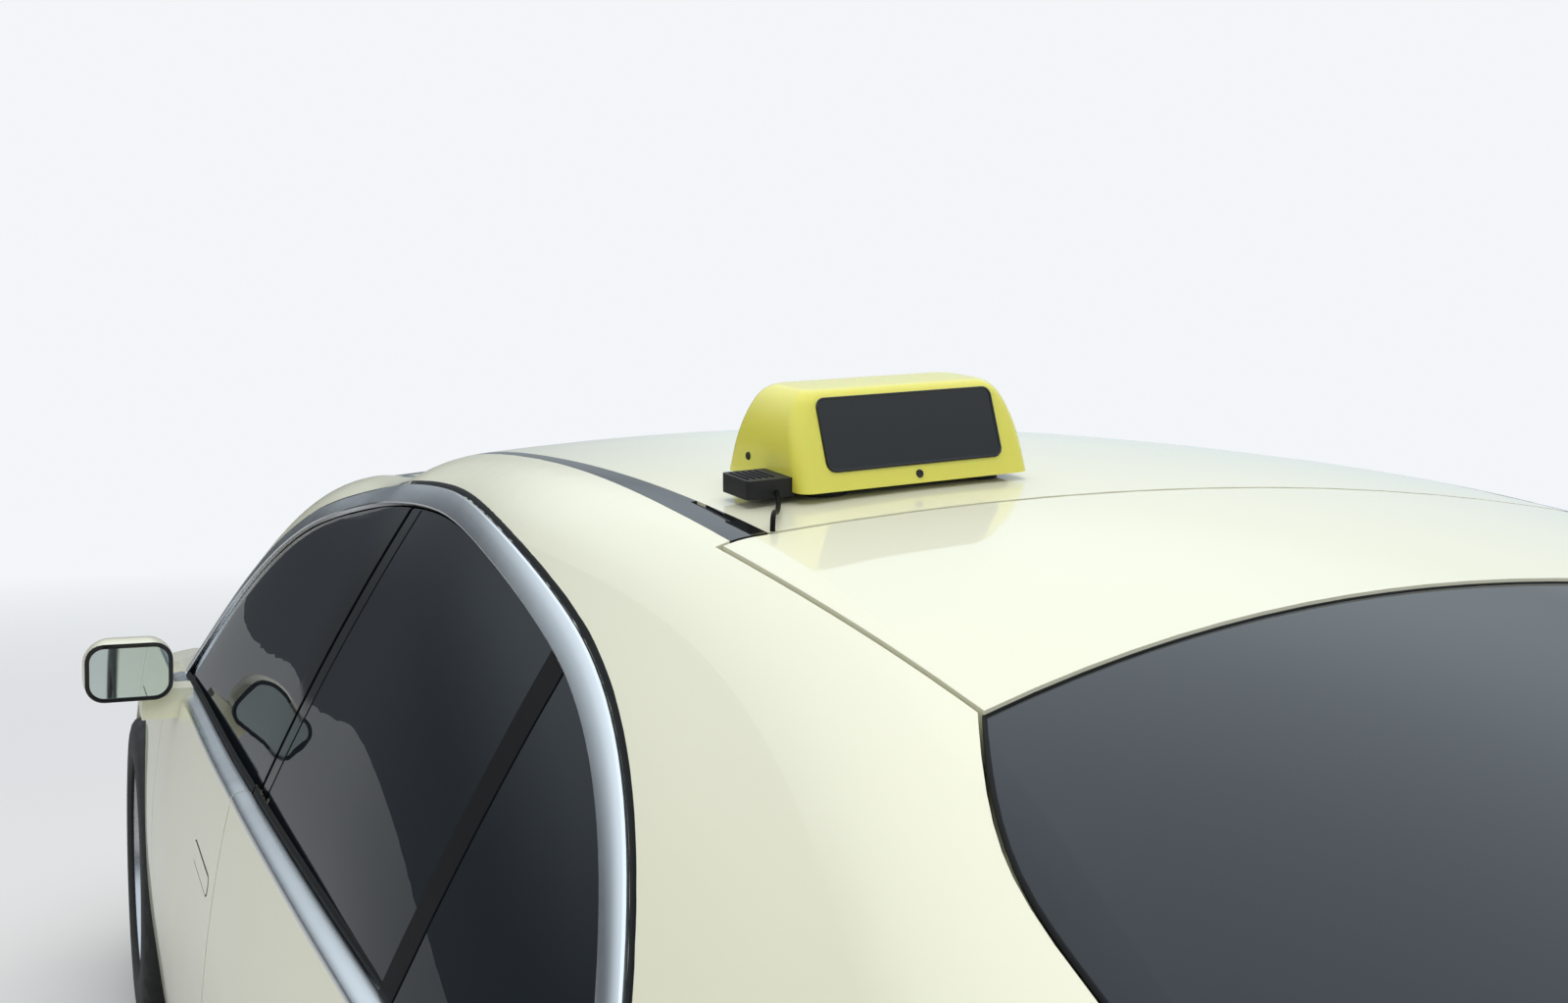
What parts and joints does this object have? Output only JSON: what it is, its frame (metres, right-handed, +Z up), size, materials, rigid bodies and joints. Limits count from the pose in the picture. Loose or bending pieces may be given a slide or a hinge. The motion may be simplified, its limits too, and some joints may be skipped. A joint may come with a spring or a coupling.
{
  "type": "taxi car",
  "caption": "Large light-ivory liftback taxi with a one-bow roof, bright side-window arch, opening doors, bonnet and tailgate, steering wheels and a yellow roof sign.",
  "frame": {"origin": "on the ground, under the middle of the car's length and width", "axes": "+X points forward, +Y to the car's left, +Z up"},
  "size_m": [5.2158, 2.168, 1.5947],
  "materials": {
    "ivory_paint": "gloss",
    "black_gloss": "gloss",
    "black_plastic": "matte",
    "tinted_glass": "gloss",
    "lamp_glass": "gloss",
    "red_lens": "gloss",
    "bright_trim": "polished",
    "sign_yellow": "gloss",
    "tyre_rubber": "matte",
    "wheel_metal": "satin",
    "chassis_metal": "matte",
    "motor_metal": "satin",
    "seat_cover": "satin",
    "carpet": "matte"
  },
  "bodies": {
    "body": {"side_frame_left": "ivory_paint", "side_frame_right": "ivory_paint", "roof_panel": "ivory_paint", "front_bumper": "ivory_paint", "rear_bumper": "ivory_paint", "windscreen": "tinted_glass", "cowl": "black_plastic", "headlamps": "lamp_glass", "tail_lamps": "red_lens", "dashboard": "black_plastic", "front_seats": "seat_cover", "rear_bench": "seat_cover", "roof_ditch_trims": "black_gloss", "window_chrome": "bright_trim", "sign_base": "black_plastic", "sign_housing": "sign_yellow", "sign_panels": "black_gloss", "sign_cable": "black_plastic", "subframe_front": "chassis_metal", "subframe_rear": "chassis_metal", "wheel_liner_fl": "black_plastic", "wheel_liner_fr": "black_plastic", "wheel_liner_rl": "black_plastic", "wheel_liner_rr": "black_plastic", "front_grille": "black_gloss", "lower_intake": "black_plastic", "rear_diffuser": "black_plastic", "floor_pan": "chassis_metal", "firewall": "chassis_metal", "drive_unit_front": "motor_metal", "drive_unit_rear": "motor_metal", "luggage_floor": "carpet", "parcel_shelf": "carpet"},
    "tailgate": {"tailgate": "ivory_paint", "rear_window": "tinted_glass", "tailgate_lamp": "red_lens"},
    "bonnet": {"bonnet": "ivory_paint"},
    "door_fl": {"door_fl": "ivory_paint", "glass_fl": "tinted_glass", "mirror_left": "ivory_paint"},
    "door_fr": {"door_fr": "ivory_paint", "glass_fr": "tinted_glass", "mirror_right": "ivory_paint"},
    "door_rl": {"door_rl": "ivory_paint", "glass_rl": "tinted_glass"},
    "door_rr": {"door_rr": "ivory_paint", "glass_rr": "tinted_glass"},
    "knuckle_left": {"knuckle_front_left": "chassis_metal"},
    "knuckle_right": {"knuckle_front_right": "chassis_metal"},
    "steering_wheel": {"steering_wheel": "black_plastic"},
    "wheel_fl": {"tyre_fl": "tyre_rubber", "rim_fl": "wheel_metal"},
    "wheel_fr": {"tyre_fr": "tyre_rubber", "rim_fr": "wheel_metal"},
    "wheel_rl": {"tyre_rl": "tyre_rubber", "rim_rl": "wheel_metal"},
    "wheel_rr": {"tyre_rr": "tyre_rubber", "rim_rr": "wheel_metal"}
  },
  "joints": [
    {"name": "steer_left", "type": "hinge", "parent": "body", "child": "knuckle_left", "pos_m": [1.743, 0.775, 0.37], "axis": [0, 0, 1], "range_deg": [-33, 33]},
    {"name": "steer_right", "type": "hinge", "parent": "body", "child": "knuckle_right", "pos_m": [1.743, -0.775, 0.37], "axis": [0, 0, 1], "range_deg": [-33, 33]},
    {"name": "steering_column", "type": "hinge", "parent": "body", "child": "steering_wheel", "pos_m": [0.7, 0.38, 0.85], "axis": [-0.9063, 0, 0.4226], "range_deg": [-400, 400]},
    {"name": "wheel_spin_fl", "type": "hinge", "parent": "knuckle_left", "child": "wheel_fl", "pos_m": [1.743, 0.83, 0.37], "axis": [0, 1, 0], "continuous": true},
    {"name": "wheel_spin_fr", "type": "hinge", "parent": "knuckle_right", "child": "wheel_fr", "pos_m": [1.743, -0.83, 0.37], "axis": [0, 1, 0], "continuous": true},
    {"name": "wheel_spin_rl", "type": "hinge", "parent": "body", "child": "wheel_rl", "pos_m": [-1.467, 0.83, 0.37], "axis": [0, 1, 0], "continuous": true},
    {"name": "wheel_spin_rr", "type": "hinge", "parent": "body", "child": "wheel_rr", "pos_m": [-1.467, -0.83, 0.37], "axis": [0, 1, 0], "continuous": true},
    {"name": "door_hinge_fl", "type": "hinge", "parent": "body", "child": "door_fl", "pos_m": [1.08, 0.95, 0.6], "axis": [0, 0, -1], "range_deg": [0, 65]},
    {"name": "door_hinge_fr", "type": "hinge", "parent": "body", "child": "door_fr", "pos_m": [1.08, -0.95, 0.6], "axis": [0, 0, 1], "range_deg": [0, 65]},
    {"name": "door_hinge_rl", "type": "hinge", "parent": "body", "child": "door_rl", "pos_m": [-0.05675, 0.958, 0.6], "axis": [0, 0, -1], "range_deg": [0, 68]},
    {"name": "door_hinge_rr", "type": "hinge", "parent": "body", "child": "door_rr", "pos_m": [-0.05675, -0.958, 0.6], "axis": [0, 0, 1], "range_deg": [0, 68]},
    {"name": "bonnet_hinge", "type": "hinge", "parent": "body", "child": "bonnet", "pos_m": [1.29, 0, 1.0825], "axis": [0, -1, 0], "range_deg": [0, 50]},
    {"name": "tailgate_hinge", "type": "hinge", "parent": "body", "child": "tailgate", "pos_m": [-0.99, 0, 1.471], "axis": [0, 1, 0], "range_deg": [0, 70]}
  ],
  "couplings": [
    {"joint": "steer_right", "follows": "steer_left", "ratio": 1},
    {"joint": "steering_column", "follows": "steer_left", "ratio": 12}
  ]
}
